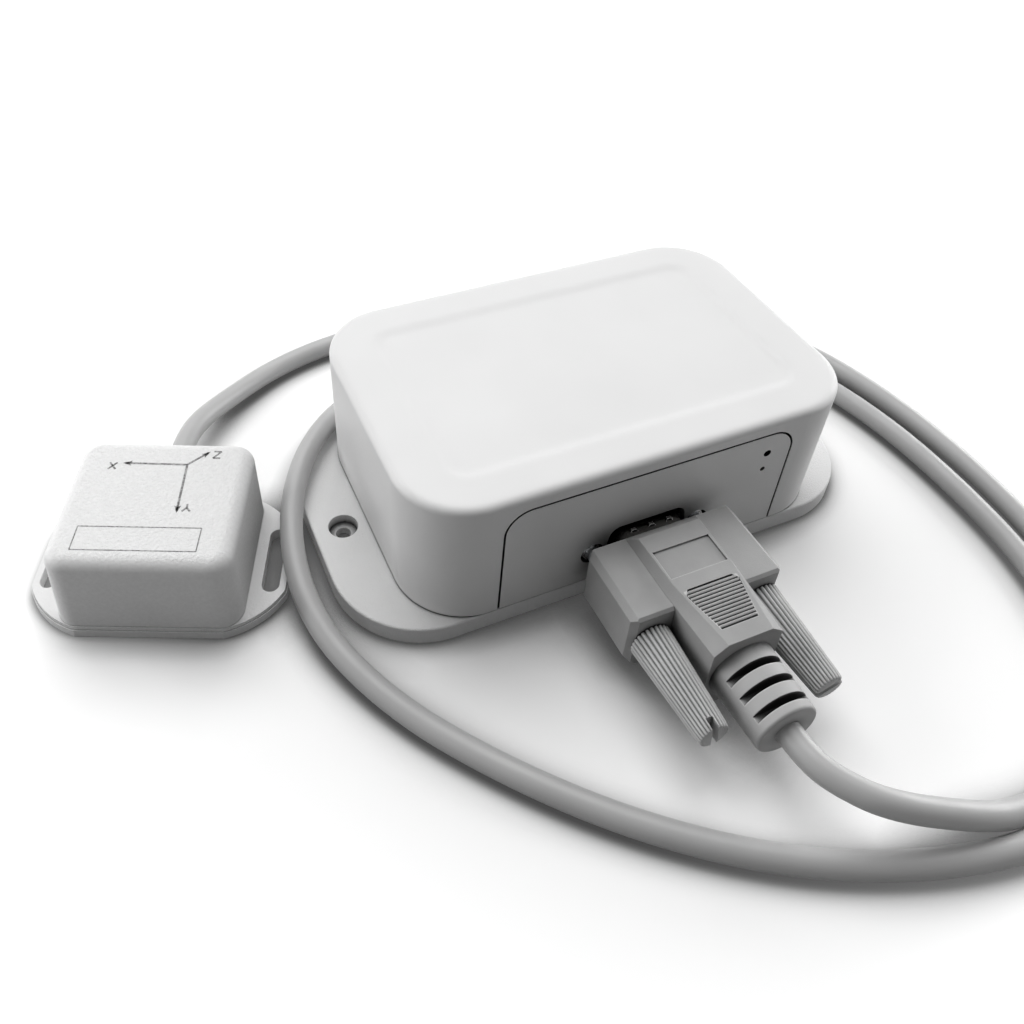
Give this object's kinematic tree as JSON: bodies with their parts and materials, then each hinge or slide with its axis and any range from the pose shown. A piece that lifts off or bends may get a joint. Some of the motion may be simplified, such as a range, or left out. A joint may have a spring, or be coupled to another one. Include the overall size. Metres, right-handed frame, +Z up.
{
  "type": "vibration sensor",
  "caption": "Wall-mounted wireless battery box with a plug-in data lead that loops round it to a small three-axis vibration sensing pod on a slotted flange.",
  "frame": {"origin": "middle of the box's underside, on the surface that it is fixed to", "axes": "+X along the box's long front to the right, +Y towards its back, +Z up out of its underside; the front panel with the connector faces -Y"},
  "size_m": [0.213, 0.1803, 0.036],
  "materials": {
    "enclosure_plastic": "fine matt moulding",
    "panel_plastic": "smooth satin",
    "gasket_rubber": "matt",
    "zinc_steel": "zinc plated",
    "shell_nickel": "nickel plated, satin",
    "contact_gold": "gold flash",
    "connector_black": "glass-filled, matt",
    "board_green": "solder mask, satin",
    "holder_black": "matt",
    "cell_sleeve": "shrink sleeve, gloss",
    "spring_steel": "nickel plated",
    "can_steel": "tinned, satin",
    "antenna_board": "solder mask, satin",
    "chip_epoxy": "moulded epoxy, matt",
    "capacitor_sleeve": "sleeve, gloss",
    "lamp_lens": "clear epoxy",
    "pipe_acrylic": "clear acrylic",
    "switch_plastic": "matt",
    "button_plastic": "satin",
    "hood_plastic": "fine spark-eroded texture",
    "boot_rubber": "matt",
    "knob_plastic": "satin",
    "lead_jacket": "satin",
    "core_insulation": "gloss",
    "pod_plastic": "fine grained moulding",
    "pod_base_plastic": "fine grained moulding",
    "gland_rubber": "matt",
    "tie_nylon": "natural nylon",
    "sensor_can": "satin",
    "terminal_plastic": "matt"
  },
  "bodies": {
    "housing": {"base_plate": "enclosure_plastic", "base_seal": "gasket_rubber", "top_cover": "enclosure_plastic", "front_panel": "panel_plastic", "cover_screws": "zinc_steel", "circuit_board": "board_green", "board_screws": "zinc_steel", "socket_shell": "shell_nickel", "socket_insulator": "connector_black", "socket_contacts": "contact_gold", "jack_nuts": "shell_nickel", "battery_holder": "holder_black", "battery_cells": "cell_sleeve", "battery_contacts": "spring_steel", "radio_module": "can_steel", "antenna": "antenna_board", "processor": "chip_epoxy", "line_driver": "chip_epoxy", "capacitors": "capacitor_sleeve", "indicator_board": "board_green", "indicator_header": "connector_black", "status_light": "lamp_lens", "light_pipe": "pipe_acrylic", "reset_switch": "switch_plastic", "plug_shell": "shell_nickel", "plug_insulator": "connector_black", "plug_pins": "contact_gold", "plug_cores": "core_insulation", "plug_lead_tail": "lead_jacket", "plug_hood": "hood_plastic", "strain_relief": "boot_rubber", "sensor_lead": "lead_jacket", "pod_base": "pod_base_plastic", "pod_cover": "pod_plastic", "pod_gland": "gland_rubber", "pod_lead_tail": "lead_jacket", "pod_lead_tie": "tie_nylon", "pod_board": "board_green", "pod_accelerometer": "sensor_can", "pod_chips": "chip_epoxy", "pod_terminal": "terminal_plastic", "pod_cores": "core_insulation", "pod_screws": "zinc_steel"},
    "left_thumbscrew": {"thumb_knob_left": "knob_plastic", "thumb_stem_left": "zinc_steel"},
    "right_thumbscrew": {"thumb_knob_right": "knob_plastic", "thumb_stem_right": "zinc_steel"},
    "reset_button": {"reset_button": "button_plastic"}
  },
  "joints": [
    {"name": "left_thumbscrew_turn", "type": "hinge", "parent": "housing", "child": "left_thumbscrew", "pos_m": [-0.0125, -0.065, 0.01275], "axis": [0, 1, 0], "continuous": true},
    {"name": "right_thumbscrew_turn", "type": "hinge", "parent": "housing", "child": "right_thumbscrew", "pos_m": [0.0125, -0.065, 0.01275], "axis": [0, 1, 0], "continuous": true},
    {"name": "reset_button_press", "type": "slide", "parent": "housing", "child": "reset_button", "axis": [0, 1, 0], "range_m": [0, 0.0003], "stiffness_N_per_m": 400}
  ]
}
